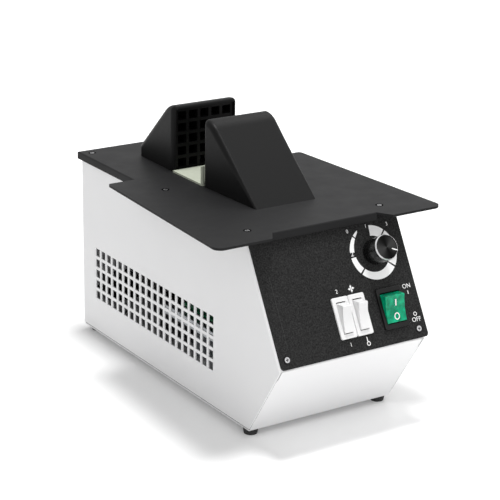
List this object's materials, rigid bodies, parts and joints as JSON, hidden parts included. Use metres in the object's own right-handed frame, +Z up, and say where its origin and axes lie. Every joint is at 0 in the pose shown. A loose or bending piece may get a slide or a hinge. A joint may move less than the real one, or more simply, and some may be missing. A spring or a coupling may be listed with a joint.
{
  "type": "eyeglass frame warmer",
  "caption": "Counter-top hot air frame warmer: white sheet metal box, black top plate with two facing grilled hoods, sloping panel with a heat knob and rocker switches.",
  "frame": {"origin": "middle of the bounding box seen from above, on the surface that the feet stand on", "axes": "+X to the right as the user faces the control panel, +Y from the control panel to the back wall, +Z up"},
  "size_m": [0.216, 0.3218, 0.2259],
  "materials": {
    "white_paint": "smooth white powder coat",
    "black_satin_paint": "satin black powder coat",
    "black_texture_paint": "fine textured black coat",
    "black_moulding": "satin black heat-resistant moulding",
    "pale_board": "matt heat-resistant board",
    "knob_plastic": "smooth black",
    "bright_cap": "spun, black face with a bright bevel",
    "dark_steel": "blackened steel",
    "plated_steel": "zinc plated",
    "bare_steel": "plain steel",
    "switch_black": "smooth black",
    "rocker_green": "clear green lens",
    "switch_white": "smooth white",
    "rocker_white": "smooth white",
    "tag_brass": "plain brass",
    "blower_plastic": "black",
    "lamination": "varnished iron",
    "galvanised": "galvanised sheet",
    "heater_mica": "mica board",
    "heater_metal": "oxidised resistance alloy sheath",
    "board_green": "green laminate",
    "component_black": "black",
    "heat_sink_aluminium": "extruded",
    "terminal_plastic": "off-white",
    "black_rubber": "matt"
  },
  "bodies": {
    "body": {"housing_shell": "white_paint", "base_pan": "white_paint", "top_plate": "black_satin_paint", "control_panel": "black_texture_paint", "front_hood": "black_moulding", "rear_hood": "black_moulding", "front_grille": "black_moulding", "rear_grille": "black_moulding", "heat_board": "pale_board", "potentiometer_body": "plated_steel", "potentiometer_nut": "plated_steel", "power_switch_body": "switch_black", "fan_switch_body": "switch_white", "heat_switch_body": "switch_white", "switch_tags": "tag_brass", "blower_housing": "blower_plastic", "motor_case": "plated_steel", "motor_bushes": "tag_brass", "motor_stator": "lamination", "motor_bracket": "plated_steel", "motor_screws": "bare_steel", "air_duct": "galvanised", "duct_cover": "galvanised", "heater_frame": "heater_mica", "heater_bars": "heater_metal", "thermal_cutout": "plated_steel", "component_shelf": "galvanised", "circuit_board": "board_green", "board_components": "component_black", "heat_sink": "heat_sink_aluminium", "terminal_block": "terminal_plastic", "terminal_screws": "tag_brass", "power_inlet": "switch_black", "inlet_pins": "tag_brass", "inlet_screws": "bare_steel", "pan_screws": "bare_steel", "plate_screws": "dark_steel", "panel_screws": "bare_steel", "hood_screws": "bare_steel", "foot_screws": "bare_steel", "foot_front_left": "black_rubber", "foot_front_right": "black_rubber", "foot_rear_left": "black_rubber", "foot_rear_right": "black_rubber"},
    "knob": {"knob": "knob_plastic", "knob_cap": "bright_cap", "knob_grub_screw": "dark_steel", "potentiometer_shaft": "plated_steel"},
    "power_rocker": {"power_rocker": "rocker_green"},
    "fan_rocker": {"fan_rocker": "rocker_white"},
    "heat_rocker": {"heat_rocker": "rocker_white"},
    "fan": {"fan_wheel": "plated_steel", "motor_rotor": "lamination", "motor_shaft": "bare_steel"}
  },
  "joints": [
    {"name": "knob_turn", "type": "hinge", "parent": "body", "child": "knob", "pos_m": [0.042, -0.12417, 0.13861], "axis": [0, -0.8729, 0.4879], "range_deg": [-201, 99]},
    {"name": "power_rocker_tilt", "type": "hinge", "parent": "body", "child": "power_rocker", "pos_m": [0.0452, -0.14646, 0.09768], "axis": [1, 0, 0], "range_deg": [-33, 0]},
    {"name": "fan_rocker_tilt", "type": "hinge", "parent": "body", "child": "fan_rocker", "pos_m": [-0.002, -0.14617, 0.09821], "axis": [1, 0, 0], "range_deg": [-33, 0]},
    {"name": "heat_rocker_tilt", "type": "hinge", "parent": "body", "child": "heat_rocker", "pos_m": [0.0138, -0.14617, 0.09821], "axis": [1, 0, 0], "range_deg": [-33, 0]},
    {"name": "fan_spin", "type": "hinge", "parent": "body", "child": "fan", "pos_m": [0, 0.08655, 0.058], "axis": [1, 0, 0], "continuous": true}
  ]
}
